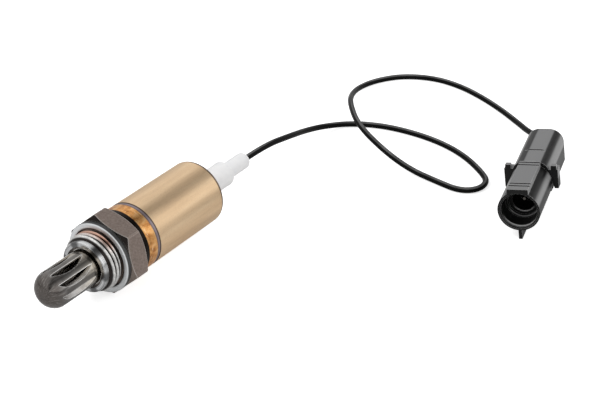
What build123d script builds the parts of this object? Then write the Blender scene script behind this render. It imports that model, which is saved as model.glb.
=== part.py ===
from build123d import *

import os
from math import acos, atan2, cos, degrees, pi, radians, sin, tan

# Unheated one-wire oxygen sensor with its lead and its sealed connector.
# The sensor lies on its hexagon and its axis is level. The origin is on that axis, at the seat face
# of the hexagon that the gasket bears on. +X runs along the sensor towards its lead, +Z is up.
# All lengths are in millimetres and all angles in degrees.

os.makedirs("parts", exist_ok=True)

# housing: thread, hexagon and collar
hex_flats = 22.0
hex_corner_trim = 0.15
hex_length = 6.6
hex_chamfer_angle = 30.0
hex_turn = 12.0
thread_dia = 18.0
thread_chamfer = 0.92
pilot_step = 1.05
reach = 7.8
pilot_length = 1.5
pilot_round = 0.5
relief_length = 1.75
lip_thickness = 0.8
lip_gap = 0.8
recess_wall = 0.95
passage_dia = 9.2
seat_depth = 2.0
collar_length = 8.0

# gasket ring, a folded sheet ring that stays on the thread
gasket_thickness = 1.75
gasket_width = 1.85
gasket_clearance = 0.2
gasket_round = 0.55

# protection tube with its pressed louvres
tube_wall = 0.5
tube_reach = 17.6
tube_dome_flat_dia = 1.8
tube_flange_overlap = 0.5
tube_flange_thickness = 0.6
louvre_count = 9
louvre_gap_to_tip = 2.0
louvre_gap_to_housing = 1.4
louvre_first_angle = 9.7
louvre_span_angle = 23.0

# zirconia element and what bears on it
element_tip_gap = 1.9
element_clearance = 0.4
element_root_dia = 5.6
element_taper = 0.6
element_wall = 0.75
element_collar_dia = 11.8
element_collar_length = 4.0
element_collar_taper = 1.2
element_head_dia = 8.8
element_head_length = 5.6
element_tip_wall = 1.4
seal_ring_thickness = 0.3
seal_ring_width = 1.3
contact_plug_length = 6.0
contact_flange_dia = 8.4
contact_flange_thickness = 0.6
contact_stem_dia = 1.8
support_front_gap = 0.5
support_front_length = 6.4
support_rear_gap = 1.3
support_rear_length = 12.0
support_counterbore_dia = 6.0
support_counterbore_depth = 4.5
spring_height = 1.6
spring_thickness = 0.6
spring_inner_dia = 7.0
spring_outer_gap = 1.8

# protective sleeve
sleeve_dia = 20.7
sleeve_wall = 0.5
sleeve_front_gap = 1.0
sleeve_rear_round = 1.2
sleeve_mouth_gap = 0.3
weld_distance = 5.1
weld_width = 1.5
weld_depth = 0.15

# rear bush, terminal, boot and lead
bush_gap = 0.2
terminal_dia = 3.0
terminal_length = 11.0
terminal_socket_depth = 4.0
terminal_crimp_gap = 0.5
boot_front_gap = 2.9
boot_flare_rise = 0.35
boot_shoulder_step = 1.45
boot_base_length = 14.3
boot_shoulder_round = 1.0
boot_inner_length = 5.0
boot_tip_wall = 1.68
boot_tip_length = 10.6
boot_tip_round = 1.1
boot_edge_round = 0.1
lead_dia = 2.0
conductor_dia = 1.0
conductor_bare_length = 4.0

# connector, in its own frame: out of the mouth is -X, the lock block is on top
connector_turn = 14.3
connector_roll = 8.2
connector_mouth_x = 93.2
connector_mouth_y = -86.2
mouth_bore_dia = 11.2
mouth_wall = 1.0
mouth_bore_depth = 6.5
mouth_chamfer = 0.5
mouth_step = 0.7
mouth_step_length = 1.0
inner_step = 1.3
inner_bore_depth = 14.0
web_thickness = 1.5
shroud_length = 19.5
barrel_step = 1.7
wire_chamber_length = 10.4
keel_depth = 3.0
keel_thickness = 1.1
keel_length = 30.0
catch_height = 1.0
catch_inset = 0.5
block_width = 6.5
block_rise = 0.82
block_groove_depth = 0.35
block_groove_width = 0.6
block_groove_places = (2.6, 4.2, 16.9, 18.6)
pin_dia = 1.8
pin_tip_depth = 8.4
pin_point_dia = 0.9
pin_collar_dia = 3.2
pin_collar_length = 5.0
pin_crimp_dia = 2.6
pin_crimp_length = 6.0
cable_seal_dia = 5.4
cable_seal_length = 5.0
cable_seal_rib = 0.35
cable_seal_ribs = 3

# secondary lock, a saddle that snaps over the rear barrel
lock_side_gap = 0.2
lock_wall = 0.9
lock_flat_width = 3.0
lock_skirt_drop = 3.6
lock_hinge_place = 8.2
lock_hinge_width = 0.6
lock_hinge_depth = 0.35
lock_ear_length = 3.2
lock_ear_thickness = 2.5
lock_ear_rise = 4.6
lock_ear_drop = 1.85
lock_ear_slot = 1.3
lock_ear_slot_angle = 69.5
lock_bump_width = 1.7
lock_bump_rise = 1.35
lock_bump_length = 1.6
lock_rear_overhang = 1.4

# clearances
press_clearance = 0.02
slip_clearance = 0.1
chamber_clearance = 0.3
lead_rest_gap = 0.05
lead_crossing_gap = 3.5
lead_straight = 8.0
lead_first_run = 11.7
lead_bend_share = 0.45

# values worked out from the sizes above, along the sensor
hex_flat_radius = hex_flats / 2
hex_corner_radius = hex_flat_radius / cos(radians(30)) - hex_corner_trim
corner_half_angle = 30.0 - degrees(acos(hex_flat_radius / hex_corner_radius))
axis_height = hex_corner_radius * cos(radians(hex_turn - corner_half_angle))
table_z = -axis_height
front_x = -reach
tube_seat_x = front_x + lip_thickness + tube_flange_thickness + press_clearance
tube_tip_x = front_x - tube_reach
louvre_length = tube_reach - louvre_gap_to_housing - louvre_gap_to_tip
collar_end_x = hex_length + collar_length
element_collar_x = seat_depth + seal_ring_thickness
element_head_x = element_collar_x + element_collar_length
element_end_x = element_head_x + element_head_length
element_tip_x = tube_tip_x + tube_wall + element_tip_gap
contact_end_x = element_end_x + contact_flange_thickness
support_shoulder_x = contact_end_x + support_front_length
support_end_x = support_shoulder_x + support_rear_length
spring_end_x = support_end_x + spring_height
terminal_x = support_end_x - support_counterbore_depth + slip_clearance
terminal_end_x = terminal_x + terminal_length
terminal_crimp_depth = conductor_bare_length + terminal_crimp_gap
stem_end_x = terminal_x + terminal_socket_depth
boot_x = terminal_end_x + boot_front_gap
sleeve_x = hex_length + sleeve_front_gap
sleeve_end_x = boot_x + boot_inner_length
sleeve_inner_end_x = sleeve_end_x - sleeve_wall
boot_shoulder_x = sleeve_end_x + boot_base_length
boot_end_x = boot_shoulder_x + boot_tip_length

# values worked out from the sizes above, out from the axis
thread_radius = thread_dia / 2
pilot_radius = thread_radius - pilot_step
tube_flange_radius = pilot_radius - recess_wall - slip_clearance
lip_bore_radius = tube_flange_radius - tube_flange_overlap
tube_radius = lip_bore_radius - lip_gap
tube_dome_round = tube_radius - tube_dome_flat_dia / 2
element_root_radius = element_root_dia / 2
slit_height = element_root_radius + element_clearance + tube_wall
louvre_depth = tube_radius - slit_height
element_tip_radius = element_root_radius - element_taper
element_bore_radius = element_tip_radius - element_wall
element_collar_radius = element_collar_dia / 2
chamber_radius = element_collar_radius + chamber_clearance
seal_ring_radius = chamber_radius - slip_clearance
sleeve_radius = sleeve_dia / 2
sleeve_bore_radius = sleeve_radius - sleeve_wall
collar_radius = sleeve_bore_radius - press_clearance
stem_radius = contact_stem_dia / 2
support_bore_radius = stem_radius + slip_clearance
support_rear_radius = sleeve_bore_radius - support_rear_gap
terminal_radius = terminal_dia / 2
conductor_radius = conductor_dia / 2
crimp_bore_radius = conductor_radius + press_clearance
lead_radius = lead_dia / 2
boot_bore_radius = lead_radius + press_clearance
boot_tip_radius = boot_bore_radius + boot_tip_wall
boot_flare_radius = boot_tip_radius + boot_shoulder_step
boot_base_radius = boot_flare_radius - boot_flare_rise


def save(part, name):
    """Labels a finished piece and writes its file."""
    part.label = name
    export_step(part, f"parts/{name}.step")


# housing: turned outside, hexagon with turned corners, stepped bore
chamfer_rise = (hex_corner_radius - hex_flat_radius) * tan(radians(hex_chamfer_angle))
with BuildPart() as housing:
    with BuildSketch(Plane.YZ):
        RegularPolygon(hex_flat_radius, 6, major_radius=False, rotation=90 - hex_turn)
    extrude(amount=hex_length)
    with BuildSketch(Plane.XZ):
        with BuildLine():
            Polyline(
                (0, 0),
                (0, hex_flat_radius),
                (chamfer_rise, hex_corner_radius),
                (hex_length - chamfer_rise, hex_corner_radius),
                (hex_length, hex_flat_radius),
                (hex_length, 0),
                close=True,
            )
        make_face()
    revolve(axis=Axis.X, mode=Mode.INTERSECT)
    with BuildSketch(Plane.XZ):
        with BuildLine():
            Polyline(
                (front_x, 0),
                (front_x, pilot_radius),
                (front_x + pilot_length, pilot_radius),
                (front_x + pilot_length + thread_chamfer, thread_radius),
                (-relief_length, thread_radius),
                (-relief_length, pilot_radius),
                (0, pilot_radius),
                (0, 0),
                close=True,
            )
        make_face()
    revolve(axis=Axis.X)
    with BuildSketch(Plane.YZ.offset(hex_length)):
        Circle(collar_radius)
    extrude(amount=collar_length)
    rim_edge = housing.edges().filter_by(GeomType.CIRCLE).group_by(Axis.X)[0].sort_by(SortBy.LENGTH)[-1]
    fillet(rim_edge, pilot_round)
    with BuildSketch(Plane.XZ):
        with BuildLine():
            Polyline(
                (front_x, 0),
                (front_x, lip_bore_radius),
                (front_x + lip_thickness, lip_bore_radius),
                (front_x + lip_thickness, tube_flange_radius + slip_clearance),
                (tube_seat_x, tube_flange_radius + slip_clearance),
                (tube_seat_x, passage_dia / 2),
                (seat_depth, passage_dia / 2),
                (seat_depth, chamber_radius),
                (collar_end_x, chamber_radius),
                (collar_end_x, 0),
                close=True,
            )
        make_face()
    revolve(axis=Axis.X, mode=Mode.SUBTRACT)
save(housing.part, "housing")

# gasket ring: a folded ring pressed to a rounded section
with BuildPart() as gasket_ring:
    with BuildSketch(Plane.XZ):
        with Locations((-gasket_thickness / 2, thread_radius + gasket_clearance + gasket_width / 2)):
            RectangleRounded(gasket_thickness, gasket_width, gasket_round)
    revolve(axis=Axis.X)
save(gasket_ring.part, "gasket_ring")

# protection tube: each strip between two slits is pressed in beside its slit, so the slit opens
louvre_end_x = front_x - louvre_gap_to_housing
louvre_mid_x = louvre_end_x - louvre_length / 2
press_tilt = atan2(
    tube_radius * cos(radians(louvre_span_angle)) - slit_height,
    tube_radius * sin(radians(louvre_span_angle)),
)
press_sink = louvre_depth * cos(press_tilt)
press_radius = ((louvre_length / 2) ** 2 + press_sink**2) / (2 * press_sink)


def pressing(growth):
    """The round tool that presses one strip, on one side of its slit, grown by a wall for the inside."""
    centre = Vector(
        louvre_mid_x,
        press_radius * sin(press_tilt),
        slit_height + press_radius * cos(press_tilt),
    )
    along = (0, -cos(press_tilt), sin(press_tilt))
    with BuildPart() as tool:
        with BuildSketch(Plane(origin=centre, x_dir=(1, 0, 0), z_dir=along)):
            Circle(press_radius + growth)
        extrude(amount=2 * press_radius, both=True)
        split(bisect_by=Plane.XZ, keep=Keep.TOP)
    return tool.part


def louvred_bar(radius, tip_x, dome_round, end_x, growth):
    """A round bar with a domed tip and a pressing beside every slit."""
    dome_flat = radius - dome_round
    tool = pressing(growth)
    with BuildPart() as bar:
        with BuildSketch(Plane.XZ):
            with BuildLine():
                Line((tip_x, 0), (tip_x, dome_flat))
                RadiusArc((tip_x, dome_flat), (tip_x + dome_round, radius), dome_round)
                Line((tip_x + dome_round, radius), (end_x, radius))
                Polyline((end_x, radius), (end_x, 0), (tip_x, 0))
            make_face()
        revolve(axis=Axis.X)
        for count in range(louvre_count):
            angle = louvre_first_angle + 360 * count / louvre_count
            add(tool.rotate(Axis.X, angle), mode=Mode.SUBTRACT)
    return bar.part


with BuildPart() as protection_tube:
    add(louvred_bar(tube_radius, tube_tip_x, tube_dome_round, tube_seat_x, 0))
    with BuildSketch(Plane.YZ.offset(tube_seat_x - tube_flange_thickness)):
        Circle(tube_flange_radius)
    extrude(amount=tube_flange_thickness)
    add(
        louvred_bar(
            tube_radius - tube_wall,
            tube_tip_x + tube_wall,
            tube_dome_round - tube_wall,
            tube_seat_x,
            tube_wall,
        ),
        mode=Mode.SUBTRACT,
    )
save(protection_tube.part, "protection_tube")

# zirconia element: a closed thimble with a collar that seats on the seal ring
with BuildPart() as sensor_element:
    with BuildSketch(Plane.XZ):
        with BuildLine():
            RadiusArc(
                (element_tip_x, 0),
                (element_tip_x + element_tip_radius, element_tip_radius),
                element_tip_radius,
            )
            Polyline(
                (element_tip_x + element_tip_radius, element_tip_radius),
                (element_collar_x, element_root_radius),
                (element_collar_x, element_collar_radius),
                (element_head_x - element_collar_taper, element_collar_radius),
                (element_head_x, element_head_dia / 2),
                (element_end_x, element_head_dia / 2),
                (element_end_x, element_bore_radius),
                (element_tip_x + element_tip_wall, element_bore_radius),
                (element_tip_x + element_tip_wall, 0),
                (element_tip_x, 0),
            )
        make_face()
    revolve(axis=Axis.X)
save(sensor_element.part, "sensor_element")


def turned(name, *profile):
    """Turns a closed outline of (x, radius) points about the sensor's axis and saves it."""
    with BuildPart() as piece:
        with BuildSketch(Plane.XZ):
            with BuildLine():
                Polyline(*profile, close=True)
            make_face()
        revolve(axis=Axis.X)
    save(piece.part, name)


turned(
    "element_seal_ring",
    (seat_depth, seal_ring_radius - seal_ring_width),
    (seat_depth, seal_ring_radius),
    (element_collar_x, seal_ring_radius),
    (element_collar_x, seal_ring_radius - seal_ring_width),
)

# contact part: a plug in the element's mouth, a flange on its end and a stem to the lead's terminal
plug_radius = element_bore_radius - press_clearance
turned(
    "contact_part",
    (element_end_x - contact_plug_length, 0),
    (element_end_x - contact_plug_length, plug_radius),
    (element_end_x, plug_radius),
    (element_end_x, contact_flange_dia / 2),
    (contact_end_x, contact_flange_dia / 2),
    (contact_end_x, stem_radius),
    (stem_end_x, stem_radius),
    (stem_end_x, 0),
)

# support ceramic: presses the contact part and the element on to the seat
turned(
    "support_ceramic",
    (contact_end_x, support_bore_radius),
    (contact_end_x, chamber_radius - support_front_gap),
    (support_shoulder_x, chamber_radius - support_front_gap),
    (support_shoulder_x, support_rear_radius),
    (support_end_x, support_rear_radius),
    (support_end_x, support_counterbore_dia / 2),
    (support_end_x - support_counterbore_depth, support_counterbore_dia / 2),
    (support_end_x - support_counterbore_depth, support_bore_radius),
)

# disc spring: a cone that bears on the ceramic outside and on the bush inside
turned(
    "disc_spring",
    (support_end_x, sleeve_bore_radius - spring_outer_gap),
    (support_end_x + spring_thickness, sleeve_bore_radius - spring_outer_gap),
    (spring_end_x, spring_inner_dia / 2),
    (spring_end_x - spring_thickness, spring_inner_dia / 2),
)

# rear bush: fills the sleeve behind the spring and holds the terminal and the boot
bush_bore_radius = terminal_radius + bush_gap
bush_mouth_radius = boot_base_radius + press_clearance
turned(
    "insulating_bush",
    (spring_end_x, bush_bore_radius),
    (spring_end_x, sleeve_bore_radius - slip_clearance),
    (sleeve_inner_end_x - sleeve_rear_round, sleeve_bore_radius - slip_clearance),
    (sleeve_inner_end_x, sleeve_bore_radius - slip_clearance - sleeve_rear_round),
    (sleeve_inner_end_x, bush_mouth_radius),
    (boot_x, bush_mouth_radius),
    (boot_x, bush_bore_radius),
)

# lead terminal: a ferrule on the stem in front and crimped on the conductor behind
turned(
    "lead_terminal",
    (terminal_x, stem_radius + press_clearance),
    (terminal_x, terminal_radius),
    (terminal_end_x, terminal_radius),
    (terminal_end_x, crimp_bore_radius),
    (terminal_end_x - terminal_crimp_depth, crimp_bore_radius),
    (terminal_end_x - terminal_crimp_depth, 0),
    (stem_end_x, 0),
    (stem_end_x, stem_radius + press_clearance),
)

# the end of the lead inside the boot, its conductor bared for the terminal
lead_bare_x = terminal_end_x + slip_clearance
turned(
    "lead_front_end",
    (lead_bare_x - conductor_bare_length, 0),
    (lead_bare_x - conductor_bare_length, conductor_radius),
    (lead_bare_x, conductor_radius),
    (lead_bare_x, lead_radius),
    (boot_end_x, lead_radius),
    (boot_end_x, 0),
)

# protective sleeve: drawn cup welded to the collar, with its weld seam and turned-in rear
weld_x = sleeve_x + weld_distance
with BuildPart() as protective_sleeve:
    with BuildSketch(Plane.XZ):
        with BuildLine():
            Polyline(
                (sleeve_end_x - sleeve_rear_round, sleeve_radius),
                (weld_x + weld_width, sleeve_radius),
                (weld_x + weld_width, sleeve_radius - weld_depth),
                (weld_x, sleeve_radius - weld_depth),
                (weld_x, sleeve_radius),
                (sleeve_x, sleeve_radius),
                (sleeve_x, sleeve_bore_radius),
                (sleeve_inner_end_x - sleeve_rear_round, sleeve_bore_radius),
                (sleeve_inner_end_x, sleeve_bore_radius - sleeve_rear_round),
                (sleeve_inner_end_x, boot_base_radius + sleeve_mouth_gap),
                (sleeve_end_x, boot_base_radius + sleeve_mouth_gap),
                (sleeve_end_x, sleeve_radius - sleeve_rear_round),
            )
            RadiusArc(
                (sleeve_end_x, sleeve_radius - sleeve_rear_round),
                (sleeve_end_x - sleeve_rear_round, sleeve_radius),
                -sleeve_rear_round,
            )
        make_face()
    revolve(axis=Axis.X)
save(protective_sleeve.part, "protective_sleeve")

# boot: a flared base with a rounded shoulder, then a thinner spout round the lead
boot_rounds = [boot_edge_round, boot_shoulder_round, boot_shoulder_round, boot_edge_round, boot_tip_round]
with BuildPart() as boot:
    with BuildSketch(Plane.XZ):
        with BuildLine():
            FilletPolyline(
                (boot_x, boot_bore_radius),
                (boot_x, boot_base_radius),
                (sleeve_end_x, boot_base_radius),
                (boot_shoulder_x, boot_flare_radius),
                (boot_shoulder_x, boot_tip_radius),
                (boot_end_x, boot_tip_radius),
                (boot_end_x, boot_bore_radius),
                radius=boot_rounds,
            )
            Line((boot_end_x, boot_bore_radius), (boot_x, boot_bore_radius))
        make_face()
    revolve(axis=Axis.X)
save(boot.part, "boot")

# connector body: round mouth and shroud, lock block on top, keel below, barrel and rail behind
turn = radians(connector_turn)
roll = radians(connector_roll)
mouth_bore_radius = mouth_bore_dia / 2
mouth_radius = mouth_bore_radius + mouth_wall
step_bore_radius = mouth_bore_radius - mouth_step
step_bore_depth = mouth_bore_depth + mouth_step_length
inner_bore_radius = step_bore_radius - inner_step
pin_radius = pin_dia / 2
collar_x = inner_bore_depth + web_thickness
crimp_x = collar_x + pin_collar_length
crimp_end = crimp_x + pin_crimp_length
cavity_radius = pin_collar_dia / 2 + slip_clearance
seal_radius = cable_seal_dia / 2
seal_x = crimp_end + wire_chamber_length
barrel_radius = mouth_radius - barrel_step
barrel_end = seal_x + cable_seal_length
block_top = mouth_radius + block_rise
lock_half = barrel_radius + lock_side_gap + lock_wall
lock_round = lock_half - lock_flat_width / 2
lock_end = barrel_end + lock_rear_overhang
flange_end = shroud_length + lock_ear_length
catch_half = lock_half - catch_inset
rail_top = block_top - lock_wall
rail_width = lock_flat_width - 2 * slip_clearance
keel_reach = mouth_radius + keel_depth
connector_height = keel_reach * cos(roll) + keel_thickness / 2 * sin(roll)
connector_plane = Plane(
    origin=(connector_mouth_x, connector_mouth_y, table_z + connector_height),
    x_dir=(cos(turn), sin(turn), 0),
    z_dir=(-sin(turn) * sin(roll), cos(turn) * sin(roll), cos(roll)),
)


def place_connector(part, name):
    """Moves a piece of the connector from the connector's own frame to where it lies, and saves it."""
    save(part.moved(connector_plane.location), name)


with BuildPart() as connector_body:
    with BuildSketch(Plane.XZ):
        with BuildLine():
            Polyline(
                (0, 0),
                (0, mouth_radius),
                (shroud_length, mouth_radius),
                (shroud_length, barrel_radius),
                (barrel_end, barrel_radius),
                (barrel_end, 0),
                close=True,
            )
        make_face()
    revolve(axis=Axis.X)
    with BuildSketch(Plane.YZ):
        with Locations((0, block_top / 2)):
            Rectangle(block_width, block_top)
    extrude(amount=shroud_length)
    with BuildSketch(Plane.YZ):
        with Locations((0, -keel_reach / 2)):
            Rectangle(keel_thickness, keel_reach)
    extrude(amount=keel_length)
    with BuildSketch(Plane.YZ.offset(shroud_length)):
        with Locations((0, rail_top / 2)):
            Rectangle(rail_width, rail_top)
    extrude(amount=barrel_end - shroud_length)
    with BuildSketch(Plane.YZ.offset(flange_end)):
        with Locations((0, -lock_skirt_drop - catch_height / 2)):
            Rectangle(2 * catch_half, catch_height)
    extrude(amount=barrel_end - flange_end)
    with Locations(*[(place, 0, block_top) for place in block_groove_places]):
        Box(block_groove_width, block_width, 2 * block_groove_depth, mode=Mode.SUBTRACT)
    with BuildSketch(Plane.XZ):
        with BuildLine():
            Polyline(
                (0, 0),
                (0, mouth_bore_radius + mouth_chamfer),
                (mouth_chamfer, mouth_bore_radius),
                (mouth_bore_depth, mouth_bore_radius),
                (mouth_bore_depth, step_bore_radius),
                (step_bore_depth, step_bore_radius),
                (step_bore_depth, inner_bore_radius),
                (inner_bore_depth, inner_bore_radius),
                (inner_bore_depth, pin_radius + press_clearance),
                (collar_x, pin_radius + press_clearance),
                (collar_x, cavity_radius),
                (seal_x, cavity_radius),
                (seal_x, seal_radius + press_clearance),
                (barrel_end, seal_radius + press_clearance),
                (barrel_end, 0),
                close=True,
            )
        make_face()
    revolve(axis=Axis.X, mode=Mode.SUBTRACT)
place_connector(connector_body.part, "connector_body")

# terminal pin: pointed pin, collar that stops on the web, crimp barrel on the bared conductor
with BuildPart() as terminal_pin:
    with BuildSketch(Plane.XZ):
        with BuildLine():
            Polyline(
                (pin_tip_depth, 0),
                (pin_tip_depth, pin_point_dia / 2),
                (pin_tip_depth + pin_radius, pin_radius),
                (collar_x, pin_radius),
                (collar_x, pin_collar_dia / 2),
                (crimp_x, pin_collar_dia / 2),
                (crimp_x, pin_crimp_dia / 2),
                (crimp_end, pin_crimp_dia / 2),
                (crimp_end, crimp_bore_radius),
                (crimp_end - conductor_bare_length, crimp_bore_radius),
                (crimp_end - conductor_bare_length, 0),
                close=True,
            )
        make_face()
    revolve(axis=Axis.X)
place_connector(terminal_pin.part, "terminal_pin")

# the end of the lead inside the connector
rear_bare_x = crimp_end + slip_clearance
with BuildPart() as lead_rear_end:
    with BuildSketch(Plane.XZ):
        with BuildLine():
            Polyline(
                (rear_bare_x - conductor_bare_length, 0),
                (rear_bare_x - conductor_bare_length, conductor_radius),
                (rear_bare_x, conductor_radius),
                (rear_bare_x, lead_radius),
                (barrel_end, lead_radius),
                (barrel_end, 0),
                close=True,
            )
        make_face()
    revolve(axis=Axis.X)
place_connector(lead_rear_end.part, "lead_rear_end")

# cable seal: a ribbed sleeve between the lead and the barrel's mouth
seal_core_radius = seal_radius - cable_seal_rib
rib_pitch = cable_seal_length / cable_seal_ribs
with BuildPart() as cable_seal:
    with BuildSketch(Plane.XZ):
        with Locations((seal_x + cable_seal_length / 2, (seal_core_radius + lead_radius) / 2)):
            Rectangle(cable_seal_length, seal_core_radius - lead_radius - 2 * press_clearance)
        for rib in range(cable_seal_ribs):
            with Locations((seal_x + (rib + 0.5) * rib_pitch, seal_core_radius - press_clearance)):
                Circle(cable_seal_rib)
    revolve(axis=Axis.X)
place_connector(cable_seal.part, "cable_seal")

# secondary lock: a saddle over the barrel, its front flange carrying an ear with two legs each side
def saddle_section(shrink):
    """The arched section of the lock, or the space under it when shrunk by the wall."""
    with BuildSketch() as section:
        with BuildLine():
            FilletPolyline(
                (-lock_half + shrink, -lock_skirt_drop - shrink),
                (-lock_half + shrink, block_top - shrink),
                (lock_half - shrink, block_top - shrink),
                (lock_half - shrink, -lock_skirt_drop - shrink),
                radius=lock_round - shrink,
            )
            Line(
                (lock_half - shrink, -lock_skirt_drop - shrink),
                (-lock_half + shrink, -lock_skirt_drop - shrink),
            )
        make_face()
    return section.sketch_local


with BuildPart() as secondary_lock:
    with BuildSketch(Plane.YZ.offset(shroud_length)):
        add(saddle_section(0))
    extrude(amount=lock_end - shroud_length)
    with BuildSketch(Plane.YZ.offset(shroud_length)):
        with Locations((0, (lock_ear_rise - lock_ear_drop) / 2)):
            Rectangle(2 * (lock_half + lock_ear_thickness), lock_ear_rise + lock_ear_drop)
    extrude(amount=lock_ear_length)
    with BuildSketch(Plane.YZ.offset(shroud_length)):
        for hand in (-1, 1):
            with Locations((hand * (lock_half + lock_ear_thickness / 2), lock_ear_rise)):
                Rectangle(lock_bump_width, 2 * lock_bump_rise)
    extrude(amount=lock_bump_length)
    with BuildSketch(Plane.YZ.offset(flange_end)):
        add(saddle_section(lock_wall))
    extrude(amount=lock_end - flange_end, mode=Mode.SUBTRACT)
    with BuildSketch(Plane.YZ.offset(shroud_length)):
        Circle(barrel_radius + slip_clearance)
        with Locations((0, rail_top / 2)):
            Rectangle(rail_width + 2 * slip_clearance, rail_top)
        with Locations((0, -lock_ear_drop)):
            Rectangle(2 * lock_half, lock_skirt_drop, align=(Align.CENTER, Align.MAX))
        for hand in (-1, 1):
            with Locations((hand * (lock_half + lock_ear_slot / 2), -lock_ear_drop)):
                Triangle(
                    a=lock_ear_slot,
                    B=lock_ear_slot_angle,
                    C=lock_ear_slot_angle,
                    align=(Align.CENTER, Align.MIN),
                )
    extrude(amount=lock_ear_length, mode=Mode.SUBTRACT)
    with Locations((shroud_length + lock_hinge_place, 0, block_top)):
        Box(lock_hinge_width, 2 * lock_half, 2 * lock_hinge_depth, mode=Mode.SUBTRACT)
place_connector(secondary_lock.part, "secondary_lock")

# lead: from the boot down to the table, one loop that crosses over itself, and up into the connector
rest = lead_radius + lead_rest_gap
hump = rest + lead_dia + lead_crossing_gap
lead_route = [
    (boot_end_x, 0, axis_height),
    (boot_end_x + lead_first_run, 0, axis_height),
    (96.3, 0.1, 9.6),
    (110.6, 2.4, 5.2),
    (121.9, 1.9, 2.2),
    (130.3, -3.2, rest),
    (134.8, -13.0, rest),
    (136.1, -25.0, rest),
    (134.8, -37.1, rest),
    (130.7, -48.1, rest),
    (123.7, -58.2, rest),
    (118.6, -63.1, rest),
    (112.2, -62.8, rest),
    (108.4, -57.8, rest),
    (109.9, -48.6, rest),
    (111.2, -38.2, 1.6),
    (114.1, -26.6, 3.8),
    (121.3, -11.5, hump),
    (134.3, -0.2, hump),
    (145.5, 4.5, 3.6),
    (156.1, 8.5, 1.5),
    (166.4, 7.5, rest),
    (175.1, 1.0, rest),
    (179.6, -9.9, rest),
    (178.6, -21.2, rest),
    (174.4, -32.4, rest),
    (168.9, -43.0, rest),
    (162.5, -52.3, 1.4),
    (154.5, -60.7, 3.2),
    (147.9, -68.9, 6.4),
]
lead_points = [Vector(x, y, table_z + height) for x, y, height in lead_route]
for out in (lead_straight, 0):
    lead_points.append(connector_plane.from_local_coords(Vector(barrel_end + out, 0, 0)))
lead_radii = []
for before, corner, after in zip(lead_points, lead_points[1:], lead_points[2:]):
    half_turn = radians((corner - before).get_angle(after - corner)) / 2
    shorter_run = min((corner - before).length, (after - corner).length)
    lead_radii.append(lead_bend_share * shorter_run / tan(half_turn))
print("lead radii", [round(radius, 1) for radius in lead_radii])
with BuildPart() as lead:
    with BuildLine() as lead_path:
        FilletPolyline(*lead_points, radius=lead_radii)
    with BuildSketch(Plane.YZ.offset(boot_end_x)):
        Circle(lead_radius)
    sweep(path=lead_path.wire())
lead_length = lead_path.wire().length
print("lead length", round(lead_length, 1), "volume", round(lead.part.volume, 2))
print("section times length", round(pi * lead_radius**2 * lead_length, 2))
save(lead.part, "lead")
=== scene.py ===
import math

import bmesh
import bpy
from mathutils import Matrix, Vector


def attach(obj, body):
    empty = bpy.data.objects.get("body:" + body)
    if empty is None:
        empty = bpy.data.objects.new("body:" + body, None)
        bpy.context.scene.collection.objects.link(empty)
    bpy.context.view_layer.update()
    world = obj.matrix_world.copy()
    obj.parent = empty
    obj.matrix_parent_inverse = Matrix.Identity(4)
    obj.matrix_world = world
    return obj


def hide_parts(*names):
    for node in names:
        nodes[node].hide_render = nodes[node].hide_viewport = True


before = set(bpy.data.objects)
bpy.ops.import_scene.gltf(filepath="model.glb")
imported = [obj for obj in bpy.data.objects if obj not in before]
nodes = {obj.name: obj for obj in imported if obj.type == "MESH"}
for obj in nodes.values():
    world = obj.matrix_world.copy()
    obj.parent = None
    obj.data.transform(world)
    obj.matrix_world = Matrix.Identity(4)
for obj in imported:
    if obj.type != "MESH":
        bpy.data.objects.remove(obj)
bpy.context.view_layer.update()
MM = 0.001

# Sizes that the visual pieces share with the solids, in millimetres
TABLE_Z = -12.331
LEAD_DIA = 2.0
BOOT_END_X = 70.3
TUBE_SLITS = 9
PILOT_RADIUS = 7.95
THREAD_X = -6.3
THREAD_END_X = -1.75
THREAD_RADIUS = 9.0
THREAD_ROOT = 8.08
THREAD_PITCH = 1.5
WELD_X = 12.7
WELD_END_X = 14.2
BARREL_END = 41.9

# The connector's mouth and its own axes in the shared frame
CONNECTOR_TURN = math.radians(14.3)
CONNECTOR_ROLL = math.radians(8.2)
CONNECTOR_MOUTH = Vector((93.2, -86.2, -2.749))
CONNECTOR_ALONG = Vector((math.cos(CONNECTOR_TURN), math.sin(CONNECTOR_TURN), 0))
CONNECTOR_UP = Vector(
    (
        -math.sin(CONNECTOR_TURN) * math.sin(CONNECTOR_ROLL),
        math.cos(CONNECTOR_TURN) * math.sin(CONNECTOR_ROLL),
        math.cos(CONNECTOR_ROLL),
    )
)
CONNECTOR_ACROSS = CONNECTOR_UP.cross(CONNECTOR_ALONG)


def put(name, data):
    """A new object in the scene."""
    obj = bpy.data.objects.new(name, data)
    bpy.context.scene.collection.objects.link(obj)
    return obj


def turn_to(obj, direction):
    """Turns a camera or a lamp to look along a direction."""
    obj.rotation_mode = "QUATERNION"
    obj.rotation_quaternion = direction.to_track_quat("-Z", "Y")


# Camera: fitted to the photograph
camera_data = bpy.data.cameras.new("camera")
camera_data.sensor_width = 36
camera_data.lens = 90
camera_data.clip_start = 0.01
camera_data.clip_end = 20
camera = put("camera", camera_data)
camera.location = Vector((-273.70, -249.21, 225.79)) * MM
turn_to(camera, Vector((0.72527, 0.48021, -0.49334)))
bpy.context.scene.camera = camera

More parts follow.
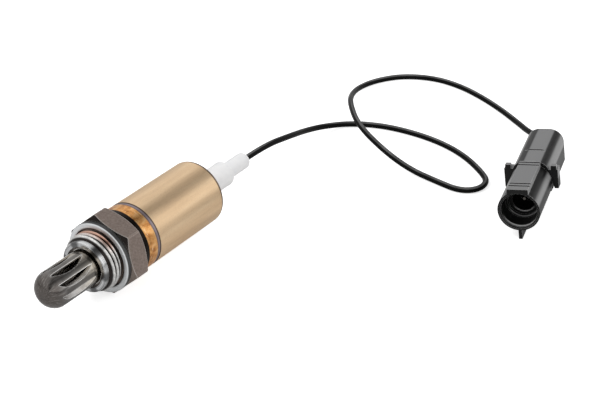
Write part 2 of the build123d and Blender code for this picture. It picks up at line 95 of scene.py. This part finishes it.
# Lead: one smooth curve through the route's points, each x, y and height above the table
REST = 1.05
HUMP = 6.55
LEAD_ROUTE = [
    (BOOT_END_X, 0, -TABLE_Z),
    (82.0, 0, -TABLE_Z),
    (96.3, 0.1, 9.6),
    (110.6, 2.4, 5.2),
    (121.9, 1.9, 2.2),
    (130.3, -3.2, REST),
    (134.8, -13.0, REST),
    (136.1, -25.0, REST),
    (134.8, -37.1, REST),
    (130.7, -48.1, REST),
    (123.7, -58.2, REST),
    (118.6, -63.1, REST),
    (112.2, -62.8, REST),
    (108.4, -57.8, REST),
    (109.9, -48.6, REST),
    (111.2, -38.2, 1.6),
    (114.1, -26.6, 3.8),
    (121.3, -11.5, HUMP),
    (134.3, -0.2, HUMP),
    (146.1, 6.4, 3.6),
    (157.0, 9.4, 1.5),
    (166.4, 7.5, REST),
    (175.1, 1.0, REST),
    (179.6, -9.9, REST),
    (178.6, -21.2, REST),
    (174.4, -32.4, REST),
    (168.9, -43.0, REST),
    (162.5, -52.3, 1.4),
    (154.5, -60.7, 3.2),
    (147.9, -68.9, 6.4),
]
lead_points = [Vector((x, y, TABLE_Z + height)) for x, y, height in LEAD_ROUTE]
for depth in (BARREL_END + 8, BARREL_END):
    lead_points.append(CONNECTOR_MOUTH + CONNECTOR_ALONG * depth)
lead_data = bpy.data.curves.new("lead_line", "CURVE")
lead_data.dimensions = "3D"
lead_data.bevel_depth = 1.0  # each point's radius scales it to the lead's own
lead_data.bevel_resolution = 8
lead_data.resolution_u = 16
lead_data.use_fill_caps = True
lead_spline = lead_data.splines.new("NURBS")
lead_spline.points.add(len(lead_points) - 1)
for spline_point, place in zip(lead_spline.points, lead_points):
    spline_point.co = (*(place * MM), 1)
    spline_point.radius = LEAD_DIA / 2 * MM
lead_spline.order_u = 3
lead_spline.use_endpoint_u = True
lead = put("lead_visual", lead_data)
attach(lead, "root")
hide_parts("lead")


class Nodes:
    """Short calls for building a node tree, where a value is a number, a colour or a socket."""

    def __init__(self, tree):
        self.tree = tree

    def new(self, kind, **settings):
        node = self.tree.nodes.new(kind)
        for key, value in settings.items():
            setattr(node, key, value)
        return node

    def feed(self, socket, value):
        if isinstance(value, bpy.types.NodeSocket):
            self.tree.links.new(value, socket)
        else:
            socket.default_value = value

    def math(self, operation, *values):
        node = self.new("ShaderNodeMath", operation=operation)
        for socket, value in zip(node.inputs, values):
            self.feed(socket, value)
        return node.outputs[0]

    def times(self, a, b):
        return self.math("MULTIPLY", a, b)

    def length(self, a, b):
        return self.math("SQRT", self.math("ADD", self.times(a, a), self.times(b, b)))

    def split(self, vector):
        node = self.new("ShaderNodeSeparateXYZ")
        self.feed(node.inputs[0], vector)
        return node.outputs

    def ramp(self, value, stops, mode="LINEAR"):
        node = self.new("ShaderNodeValToRGB")
        node.color_ramp.interpolation = mode
        while len(node.color_ramp.elements) < len(stops):
            node.color_ramp.elements.new(0.5)
        for element, (position, colour) in zip(node.color_ramp.elements, stops):
            element.position = position
            element.color = (*colour, 1)
        self.feed(node.inputs[0], value)
        return node.outputs["Color"]


class Paint(Nodes):
    """A material with one shader, and the patterns that the finishes share, in millimetres."""

    def __init__(self, name, base, metallic, roughness, **sockets):
        self.material = bpy.data.materials.new(name)
        self.material.use_nodes = True
        super().__init__(self.material.node_tree)
        self.shader = self.tree.nodes["Principled BSDF"]
        self.set("Base Color", (*base, 1))
        self.set("Metallic", metallic)
        self.set("Roughness", roughness)
        for socket, value in sockets.items():
            self.set(socket, value)
        coordinates = self.new("ShaderNodeTexCoord").outputs
        self.normal = coordinates["Normal"]
        scale = self.new("ShaderNodeVectorMath", operation="SCALE")
        self.feed(scale.inputs[0], coordinates["Object"])
        self.feed(scale.inputs["Scale"], 1 / MM)
        self.place = scale.outputs["Vector"]

    def set(self, socket, value):
        self.feed(self.shader.inputs[socket], value)

    def dot(self, a, b):
        node = self.new("ShaderNodeVectorMath", operation="DOT_PRODUCT")
        self.feed(node.inputs[0], a)
        self.feed(node.inputs[1], b)
        return node.outputs["Value"]

    def around(self):
        """The place along the sensor's axis, the turns about it and the distance from it."""
        x, y, z = self.split(self.place)
        angle = self.math("ARCTAN2", self.times(y, -1.0), z)
        return x, self.times(angle, 1 / (2 * math.pi)), self.length(y, z)

    def along_connector(self):
        """The depth behind the connector's mouth, the height and the distance from its axis."""
        offset = self.new("ShaderNodeVectorMath", operation="SUBTRACT")
        self.feed(offset.inputs[0], self.place)
        self.feed(offset.inputs[1], CONNECTOR_MOUTH)
        depth, side, height = (
            self.dot(offset.outputs["Vector"], axis)
            for axis in (CONNECTOR_ALONG, CONNECTOR_ACROSS, CONNECTOR_UP)
        )
        return depth, height, self.length(height, side)

    def noise(self, scale, detail, roughness, vector=None):
        node = self.new("ShaderNodeTexNoise")
        self.feed(node.inputs["Vector"], vector or self.place)
        self.feed(node.inputs["Scale"], scale)
        self.feed(node.inputs["Detail"], detail)
        self.feed(node.inputs["Roughness"], roughness)
        return node.outputs["Fac"]

    def streaks(self, detail, roughness, x, y, z):
        """Noise drawn out by coordinates that are scaled one by one."""
        node = self.new("ShaderNodeCombineXYZ")
        for socket, value in zip(node.inputs, (x, y, z)):
            self.feed(socket, value)
        return self.noise(1.0, detail, roughness, node.outputs[0])

    def span(self, value, low, high, out_low=0.0, out_high=1.0, smooth=True):
        """A value carried from the range low to high to another range, and held at its ends."""
        kind = "SMOOTHSTEP" if smooth else "LINEAR"
        node = self.new("ShaderNodeMapRange", interpolation_type=kind)
        for socket, number in zip(node.inputs, (value, low, high, out_low, out_high)):
            self.feed(socket, number)
        return node.outputs[0]

    def mix(self, share, a, b):
        """Colour a, with its share of colour b."""
        node = self.new("ShaderNodeMix", data_type="RGBA")
        self.feed(node.inputs[0], share)
        for socket, value in ((node.inputs[6], a), (node.inputs[7], b)):
            self.feed(socket, (*value, 1) if isinstance(value, tuple) else value)
        return node.outputs[2]

    def mix_numbers(self, share, a, b):
        node = self.new("ShaderNodeMix", data_type="FLOAT")
        for socket, value in ((node.inputs[0], share), (node.inputs[2], a), (node.inputs[3], b)):
            self.feed(socket, value)
        return node.outputs[0]

    def bump(self, height, strength, distance, normal=None):
        node = self.new("ShaderNodeBump")
        self.feed(node.inputs["Strength"], strength)
        self.feed(node.inputs["Distance"], distance * MM)
        self.feed(node.inputs["Height"], height)
        if normal is not None:
            self.feed(node.inputs["Normal"], normal)
        return node.outputs["Normal"]

    def soft_edges(self, radius, samples=4):
        node = self.new("ShaderNodeBevel", samples=samples)
        self.feed(node.inputs["Radius"], radius * MM)
        return node.outputs["Normal"]

    def edges(self, radius):
        """1 on a piece's edges and 0 on its faces."""
        flat = self.new("ShaderNodeNewGeometry").outputs["True Normal"]
        return self.span(self.dot(flat, self.soft_edges(radius, 8)), 0.99, 0.93)

    def facing(self, direction, low, high):
        """1 on faces that look along a direction in the shared frame, and 0 on the others."""
        return self.span(self.dot(self.normal, Vector(direction).normalized()), low, high)


def dress(obj, paint):
    """Gives a piece or a carried-over node its finish."""
    obj.data.materials.clear()
    obj.data.materials.append(paint.material)


def grey(tone):
    return (tone, tone, tone)


# Finishes
def tube_finish():
    p = Paint("tube_finish", (0.34, 0.31, 0.29), 1.0, 0.24)
    x, turns, radius = p.around()
    grain = p.streaks(4, 0.6, p.times(x, 0.12), p.times(turns, 60.0), radius)
    # Heat tint, from the sooty dome to the dark joint at the pilot
    base = p.ramp(
        p.span(x, -26.0, -7.0, smooth=False),
        [
            (0.0, (0.09, 0.078, 0.072)),
            (0.16, (0.15, 0.138, 0.13)),
            (0.45, (0.46, 0.45, 0.44)),
            (0.78, (0.56, 0.52, 0.46)),
            (0.94, (0.5, 0.44, 0.36)),
            (0.975, (0.08, 0.07, 0.06)),
        ],
    )
    patches = p.noise(0.35, 3, 0.55)
    base = p.mix(p.span(patches, 0.35, 0.7, 0.0, 0.5), base, (0.14, 0.12, 0.11))
    base = p.mix(p.span(grain, 0.45, 0.7, 0.0, 0.25), base, (0.6, 0.58, 0.55))
    # Painted shade beside the slits, and painted highlights on every edge
    strips = p.math("ABSOLUTE", p.math("SINE", p.times(turns, TUBE_SLITS * math.pi)))
    slit_zone = p.times(p.span(x, -22.5, -20.5), p.span(x, -8.6, -9.6))
    slit_shade = p.times(p.span(strips, 0.75, 0.35, 0.0, 0.8), slit_zone)
    base = p.mix(slit_shade, base, (0.1, 0.095, 0.09))
    base = p.mix(p.edges(0.3), base, (0.97, 0.96, 0.94))
    p.set("Base Color", base)
    p.set("Roughness", p.span(grain, 0.2, 0.8, 0.1, 0.22, smooth=False))
    p.set("Normal", p.bump(grain, 0.06, 0.04, p.soft_edges(0.12)))
    return p


def housing_finish():
    p = Paint("housing_finish", (0.6, 0.6, 0.6), 1.0, 0.25)
    x, turns, radius = p.around()
    # Turned steel, with six dark streaks of painted reflection round the pilot
    rings = p.streaks(3, 0.6, p.times(x, 14.0), p.times(turns, 3.0), radius)
    steel = p.ramp(rings, [(0.3, (0.62, 0.63, 0.64)), (0.7, (0.86, 0.86, 0.86))])
    bands = p.streaks(2, 0.5, p.times(radius, 5.0), p.times(x, 5.0), turns)
    steel = p.mix(p.span(bands, 0.5, 0.62, 0.0, 0.75), steel, (0.16, 0.16, 0.165))
    lobes = p.math("COSINE", p.math("MULTIPLY_ADD", turns, 6 * 2 * math.pi, -math.pi / 6))
    on_pilot = p.math("LESS_THAN", x, THREAD_X)
    reflection_streaks = p.times(p.span(lobes, 0.1, -0.9, 0.0, 0.85), on_pilot)
    steel = p.mix(reflection_streaks, steel, (0.08, 0.08, 0.082))
    # Forged and speckled hexagon
    forged = p.noise(1.6, 6, 0.7)
    speckle = p.noise(3.2, 4, 0.75)
    hexagon = p.ramp(forged, [(0.3, (0.22, 0.175, 0.152)), (0.7, (0.42, 0.34, 0.3))])
    hexagon = p.mix(p.span(speckle, 0.52, 0.68, 0.0, 0.6), hexagon, (0.1, 0.08, 0.072))
    is_hexagon = p.math("GREATER_THAN", x, -0.4)  # its seat face is at 0
    base = p.mix(is_hexagon, steel, hexagon)
    # Painted shade on the end faces and chamfers, dark on top and paler on the -Y side, and
    # painted highlights on the hexagon's edges
    end_on = p.span(p.math("ABSOLUTE", p.split(p.normal)[0]), 0.35, 0.55)
    end_face_shade = p.times(p.math("GREATER_THAN", radius, 9.5), end_on)
    end_face_shade_tone = p.mix(p.span(turns, 0.14, 0.24), (0.03, 0.025, 0.023), (0.28, 0.23, 0.2))
    base = p.mix(end_face_shade, base, end_face_shade_tone)
    highlight_share = p.times(p.edges(0.4), p.times(is_hexagon, 0.8))
    base = p.mix(highlight_share, base, (0.75, 0.7, 0.66))
    p.set("Base Color", base)
    steel_roughness = p.span(rings, 0.2, 0.8, 0.1, 0.22, smooth=False)
    hexagon_roughness = p.span(forged, 0.3, 0.7, 0.38, 0.52, smooth=False)
    p.set("Roughness", p.mix_numbers(is_hexagon, steel_roughness, hexagon_roughness))
    p.set("Normal", p.bump(p.times(forged, is_hexagon), 0.35, 0.08, p.soft_edges(0.2)))
    return p


def thread_finish():
    p = Paint("thread_finish", (0.8, 0.8, 0.8), 1.0, 0.22)
    x, turns, radius = p.around()
    scuffs = p.streaks(4, 0.6, p.times(x, 2.0), p.times(turns, 60.0), radius)
    crest = p.ramp(scuffs, [(0.35, (0.7, 0.69, 0.68)), (0.6, (1.0, 0.99, 0.97))])
    # A rest of reddish assembly paste on the upper rear crests
    paste = p.times(p.span(x, -4.4, -3.4), p.span(turns, 0.17, 0.08, 0.0, 0.8))
    crest = p.mix(paste, crest, (0.7, 0.36, 0.24))
    # Painted shade in the thread's roots, between the lighter crests
    p.set("Base Color", p.mix(p.span(radius, 8.3, 8.75), (0.035, 0.03, 0.028), crest))
    p.set("Roughness", p.span(scuffs, 0.3, 0.7, 0.3, 0.16, smooth=False))
    p.set("Normal", p.bump(scuffs, 0.1, 0.03))
    return p


def gasket_finish():
    p = Paint("gasket_finish", (0.78, 0.8, 0.81), 1.0, 0.3)
    x, turns, radius = p.around()
    lines = p.streaks(4, 0.6, p.times(radius, 6.0), p.times(turns, 5.0), x)
    flat = p.ramp(lines, [(0.3, (0.86, 0.88, 0.89)), (0.7, (0.98, 0.99, 1.0))])
    rims = p.math("MAXIMUM", p.span(radius, 10.88, 11.0), p.span(radius, 9.45, 9.3))
    p.set("Base Color", p.mix(rims, flat, grey(0.1)))
    p.set("Roughness", p.span(lines, 0.3, 0.7, 0.42, 0.55, smooth=False))
    p.set("Normal", p.bump(lines, 0.15, 0.05))
    return p


def sleeve_finish():
    p = Paint("sleeve_finish", (0.75, 0.6, 0.38), 1.0, 0.28)
    x, turns, radius = p.around()
    # Straw tint over the drawn body
    drawn = p.streaks(3, 0.55, p.times(x, 0.03), p.times(turns, 26.0), 0.0)
    straw = p.ramp(
        drawn,
        [(0.3, (0.81, 0.58, 0.36)), (0.5, (0.89, 0.65, 0.41)), (0.7, (0.96, 0.73, 0.48))],
    )
    mottle = p.noise(2.2, 5, 0.7)
    straw = p.mix(p.span(mottle, 0.45, 0.75, 0.0, 0.3), straw, (0.6, 0.4, 0.23))
    # Copper tint in front of the weld
    tinted = p.streaks(3, 0.6, p.times(x, 0.35), p.times(turns, 34.0), 8.0)
    copper = p.ramp(
        tinted,
        [(0.35, (0.5, 0.2, 0.06)), (0.5, (0.85, 0.42, 0.14)), (0.65, (0.95, 0.58, 0.26))],
    )
    # Painted highlights and darker painted reflections, streaked round the copper
    painted_glints = p.streaks(4, 0.7, p.times(x, 1.6), p.times(turns, 22.0), 5.0)
    copper = p.mix(p.span(painted_glints, 0.54, 0.68, 0.0, 0.6), copper, (0.4, 0.17, 0.06))
    copper = p.mix(p.span(painted_glints, 0.42, 0.34, 0.0, 0.8), copper, (1.0, 0.76, 0.46))
    weld = p.ramp(
        p.span(x, WELD_X, WELD_END_X, smooth=False),
        [
            (0.0, (0.13, 0.1, 0.1)),
            (0.45, (0.34, 0.28, 0.3)),
            (0.6, (0.38, 0.32, 0.34)),
            (1.0, (0.13, 0.1, 0.09)),
        ],
    )
    is_copper = p.math("LESS_THAN", x, WELD_X)
    base = p.mix(p.math("GREATER_THAN", x, WELD_END_X), weld, straw)
    base = p.mix(is_copper, base, copper)
    # Painted shade where the sleeve meets the hexagon, and a dark round at the rear
    base = p.mix(p.span(x, 9.1, 8.8), base, (0.015, 0.012, 0.01))
    rear_round = p.times(p.span(x, 43.9, 44.3), p.span(radius, 9.3, 9.7))
    base = p.mix(rear_round, base, (0.16, 0.1, 0.07))
    p.set("Base Color", base)
    fine = p.streaks(4, 0.6, p.times(x, 0.5), p.times(turns, 240.0), 3.0)
    straw_roughness = p.span(fine, 0.3, 0.7, 0.36, 0.46, smooth=False)
    p.set("Roughness", p.mix_numbers(is_copper, straw_roughness, 0.3))
    p.set("Normal", p.bump(fine, 0.06, 0.03, p.soft_edges(0.1)))
    return p


def boot_finish():
    p = Paint("boot_finish", (0.84, 0.84, 0.84), 0.0, 0.42)
    mottle = p.noise(0.5, 3, 0.5)
    p.set("Base Color", p.ramp(mottle, [(0.3, (0.87, 0.87, 0.88)), (0.7, (0.92, 0.92, 0.92))]))
    p.set("Normal", p.bump(p.noise(4.0, 3, 0.5), 0.08, 0.03, p.soft_edges(0.25)))
    return p


def lead_finish():
    black = grey(0.004)
    p = Paint("lead_finish", black, 0.0, 0.14, IOR=1.15)
    fine = p.noise(3.0, 4, 0.6)
    # Painted sheen: a paler top, stronger in some places than in others
    highlight_share = p.span(p.noise(0.12, 2, 0.5), 0.35, 0.6, 0.55, 1.0)
    painted_sheen = p.times(p.facing((-0.3, -0.2, 0.93), 0.84, 0.95), highlight_share)
    p.set("Base Color", p.mix(painted_sheen, black, grey(0.13)))
    p.set("Roughness", p.span(fine, 0.3, 0.7, 0.1, 0.18, smooth=False))
    p.set("Normal", p.bump(fine, 0.08, 0.03))
    return p


# Painted highlights in the connector's mouth: each one's depth, half width and outer radius
MOUTH_HIGHLIGHTS = [(6.3, 0.28, 5.3), (7.4, 0.28, 4.0), (1.2, 0.5, 5.75)]


def plastic_finish(name, tone):
    p = Paint(name, grey(tone), 0.0, 0.34, IOR=1.32)
    fine = p.noise(5.0, 4, 0.6)
    broad = p.noise(0.25, 2, 0.5)
    base = p.mix(p.span(broad, 0.3, 0.7), grey(tone * 0.8), grey(tone * 1.25))
    # Painted sheen on the top and flanks, but not on the faces inside the mouth, which are lower
    outside = p.span(p.split(p.place)[2], -0.5, 0.5)
    top = p.facing((0, 0, 1), 0.95, 0.985)
    flank_sheen = p.math(
        "MAXIMUM",
        p.facing((0.24, -0.9, 0.36), 0.88, 0.98),
        p.facing((-0.24, 0.9, 0.36), 0.88, 0.98),
    )
    base = p.mix(p.times(top, outside), base, (0.19, 0.19, 0.192))
    base = p.mix(p.times(flank_sheen, outside), base, grey(0.27))
    # Painted highlights on the edges, but not on the faces that look out of the mouth
    not_front = p.math("SUBTRACT", 1.0, p.facing(-CONNECTOR_ALONG, 0.9, 0.97))
    base = p.mix(p.times(p.edges(0.32), not_front), base, grey(0.4))
    depth, height, radius = p.along_connector()
    low_in_mouth = p.span(height, -1.5, -4.0, 0.0, 0.9)
    # Painted highlights along the mouth's steps and its lower rim
    for line_depth, half, reach in MOUTH_HIGHLIGHTS:
        away = p.math("ABSOLUTE", p.math("SUBTRACT", depth, line_depth))
        line = p.times(p.span(away, half, half * 0.5), p.span(radius, reach + 0.1, reach - 0.1))
        base = p.mix(p.times(line, low_in_mouth), base, grey(0.6))
    p.set("Base Color", base)
    p.set("Roughness", p.span(fine, 0.3, 0.7, 0.28, 0.4, smooth=False))
    p.set("Normal", p.bump(fine, 0.1, 0.03, p.soft_edges(0.3)))
    return p


def plain_finish(name, base, metallic, roughness):
    p = Paint(name, base, metallic, roughness)
    fine = p.noise(3.0, 4, 0.6)
    p.set("Roughness", p.span(fine, 0.3, 0.7, roughness * 0.85, roughness * 1.15, smooth=False))
    p.set("Normal", p.bump(fine, 0.1, 0.03))
    return p


finishes = {
    "tube": tube_finish(),
    "housing": housing_finish(),
    "thread": thread_finish(),
    "gasket": gasket_finish(),
    "sleeve": sleeve_finish(),
    "boot": boot_finish(),
    "lead": lead_finish(),
    "connector": plastic_finish("connector_finish", 0.006),
    "lock": plastic_finish("lock_finish", 0.008),
    "ceramic": plain_finish("ceramic_finish", (0.85, 0.84, 0.8), 0.0, 0.5),
    "metal": plain_finish("metal_finish", (0.6, 0.6, 0.58), 1.0, 0.3),
    "tin": plain_finish("tin_finish", (0.1, 0.092, 0.085), 1.0, 0.14),
    "seal": plain_finish("seal_finish", (0.3, 0.1, 0.06), 0.0, 0.45),
}
NODE_FINISH = {
    "housing": "housing",
    "protection_tube": "tube",
    "gasket_ring": "gasket",
    "protective_sleeve": "sleeve",
    "boot": "boot",
    "connector_body": "connector",
    "secondary_lock": "lock",
    "terminal_pin": "tin",
    "lead_terminal": "tin",
    "sensor_element": "ceramic",
    "support_ceramic": "ceramic",
    "insulating_bush": "ceramic",
    "element_seal_ring": "metal",
    "contact_part": "metal",
    "disc_spring": "metal",
    "cable_seal": "seal",
    "lead_front_end": "lead",
    "lead_rear_end": "lead",
}
for node_name, finish_name in NODE_FINISH.items():
    dress(nodes[node_name], finishes[finish_name])
lead_data.materials.append(finishes["lead"].material)

# Thread's form
THREAD_FLAT = 0.12  # crest's and root's share of half a pitch
THREAD_RUN_IN = 1.0
THREAD_RUN_OUT = 0.5
THREAD_STEPS = 92  # rows of the mesh along the thread
THREAD_SIDES = 144  # points in each row


def thread_radius_at(x, turns):
    """The thread's radius at a place along the axis, with crests that start and run out."""

    def held(share):
        return min(1.0, max(0.0, share))

    phase = (x / THREAD_PITCH - turns) % 1.0
    rise = min(phase, 1 - phase) * 2
    crest = held((rise - THREAD_FLAT) / (1 - 2 * THREAD_FLAT))
    start = held((x - THREAD_X) / THREAD_RUN_IN)
    finish = held((THREAD_END_X - x) / THREAD_RUN_OUT)
    top = PILOT_RADIUS + (THREAD_RADIUS - PILOT_RADIUS) * min(start, finish)
    return min(top, THREAD_ROOT + (THREAD_RADIUS - THREAD_ROOT) * crest)


def threaded_housing():
    """The solid's own form, with its plain cylinder cut out and the helix in its place."""
    mesh = nodes["housing"].data.copy()
    mesh.name = "housing_threaded"
    piece = put("housing_threaded", mesh)
    dress(piece, finishes["housing"])
    mesh.materials.append(finishes["thread"].material)
    shape = bmesh.new()
    shape.from_mesh(mesh)
    for x in (THREAD_X, THREAD_END_X):
        bmesh.ops.bisect_plane(
            shape,
            geom=list(shape.verts) + list(shape.edges) + list(shape.faces),
            plane_co=(x * MM, 0, 0),
            plane_no=(1, 0, 0),
        )
    plain_cylinder = []
    for face in shape.faces:
        middle = face.calc_center_median() / MM
        outside = math.hypot(middle.y, middle.z) > PILOT_RADIUS - 0.2
        if outside and THREAD_X - 0.01 < middle.x < THREAD_END_X + 0.01:
            plain_cylinder.append(face)
    bmesh.ops.delete(shape, geom=plain_cylinder, context="FACES")
    rows = []
    for i in range(THREAD_STEPS + 1):
        x = THREAD_X + (THREAD_END_X - THREAD_X) * i / THREAD_STEPS
        row = []
        for j in range(THREAD_SIDES):
            turns = j / THREAD_SIDES
            radius = thread_radius_at(x, turns)
            angle = 2 * math.pi * turns
            place = Vector((x, -radius * math.sin(angle), radius * math.cos(angle)))
            row.append(shape.verts.new(place * MM))
        rows.append(row)
    for lower, upper in zip(rows, rows[1:]):
        for j in range(THREAD_SIDES):
            k = (j + 1) % THREAD_SIDES
            face = shape.faces.new((lower[j], upper[j], upper[k], lower[k]))
            face.smooth = True
            face.material_index = 1
    shape.normal_update()
    shape.to_mesh(mesh)
    shape.free()
    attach(piece, "root")
    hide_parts("housing")


threaded_housing()


class Rays(Nodes):
    """A floor's or a world's node tree, which tells what kind of ray is looking."""

    def __init__(self, tree):
        super().__init__(tree)
        tree.nodes.clear()
        self.kinds = self.new("ShaderNodeLightPath").outputs

    def level(self, direct, mirrored, other):
        """A strength for camera and transmission rays, one for glossy rays and one for others."""
        is_direct = self.math(
            "MAXIMUM", self.kinds["Is Camera Ray"], self.kinds["Is Transmission Ray"]
        )
        is_mirrored = self.kinds["Is Glossy Ray"]
        is_other = self.math("SUBTRACT", 1.0, self.math("MAXIMUM", is_direct, is_mirrored))
        seen = self.math("ADD", self.times(is_direct, direct), self.times(is_mirrored, mirrored))
        return self.math("ADD", seen, self.times(is_other, other))


# Floor and backdrop: white to the camera, paler or darker in reflections as a studio is
floor_mesh = bpy.data.meshes.new("floor")
floor_mesh.from_pydata([(-3, -3, 0), (3, -3, 0), (3, 3, 0), (-3, 3, 0)], [], [(0, 1, 2, 3)])
floor = put("floor", floor_mesh)
floor.location.z = (TABLE_Z - 0.01) * MM
floor_material = bpy.data.materials.new("floor_white")
floor_material.use_nodes = True
rays = Rays(floor_material.node_tree)
glow = rays.new("ShaderNodeEmission")
rays.feed(glow.inputs["Strength"], rays.level(0.72, 0.14, 0.0))
tint = rays.new("ShaderNodeCombineColor")
floor_tone = rays.level(0.8, 0.55, 0.8)
for socket in tint.inputs:
    rays.feed(socket, floor_tone)
matt = rays.new("ShaderNodeBsdfDiffuse")
rays.feed(matt.inputs["Color"], tint.outputs[0])
both = rays.new("ShaderNodeAddShader")
rays.feed(both.inputs[0], glow.outputs[0])
rays.feed(both.inputs[1], matt.outputs[0])
rays.feed(rays.new("ShaderNodeOutputMaterial").inputs["Surface"], both.outputs[0])
floor_mesh.materials.append(floor_material)

# World: even light, and in reflections two long softboxes over the object, dark between them
SOFTBOXES = [  # each an angle about the sensor's axis, in degrees, and its tone
    (-180, 0.5),
    (-95, 0.6),
    (-72, 0.8),
    (-58, 1.1),
    (-16, 1.1),
    (-4, 0.6),
    (6, 0.25),
    (22, 0.3),
    (34, 0.7),
    (46, 1.35),
    (76, 1.35),
    (90, 0.3),
    (180, 0.5),
]
world = bpy.data.worlds.new("studio")
bpy.context.scene.world = world
world.use_nodes = True
rays = Rays(world.node_tree)
heading = rays.split(rays.new("ShaderNodeTexCoord").outputs["Generated"])
about_x = rays.math("ARCTAN2", rays.times(heading["Y"], -1.0), heading["Z"])
about_x = rays.math("ADD", rays.math("DIVIDE", about_x, 2 * math.pi), 0.5)
stops = [(angle / 360 + 0.5, grey(tone)) for angle, tone in SOFTBOXES]
boxes = rays.ramp(about_x, stops, "EASE")
sky = rays.new("ShaderNodeBackground")
rays.feed(sky.inputs["Strength"], rays.level(1.0, boxes, 0.56))
rays.feed(rays.new("ShaderNodeOutputWorld").inputs["Surface"], sky.outputs[0])

# Lamps: each one's name, place and size in metres, and power in watts
LAMP_AIM = Vector((0.07, -0.03, 0.0))
for name, place, width, height, power in (
    ("key", (-0.25, 0.35, 0.75), 0.5, 0.35, 3.4),
    ("side", (0.35, -0.65, 0.45), 0.4, 0.4, 2.2),
):
    lamp_data = bpy.data.lights.new(name, "AREA")
    lamp_data.shape = "RECTANGLE"
    lamp_data.size = width
    lamp_data.size_y = height
    lamp_data.energy = power
    lamp = put(name, lamp_data)
    lamp.location = place
    turn_to(lamp, LAMP_AIM - Vector(place))
    lamp.visible_glossy = False

scene = bpy.context.scene
scene.view_settings.view_transform = "Standard"
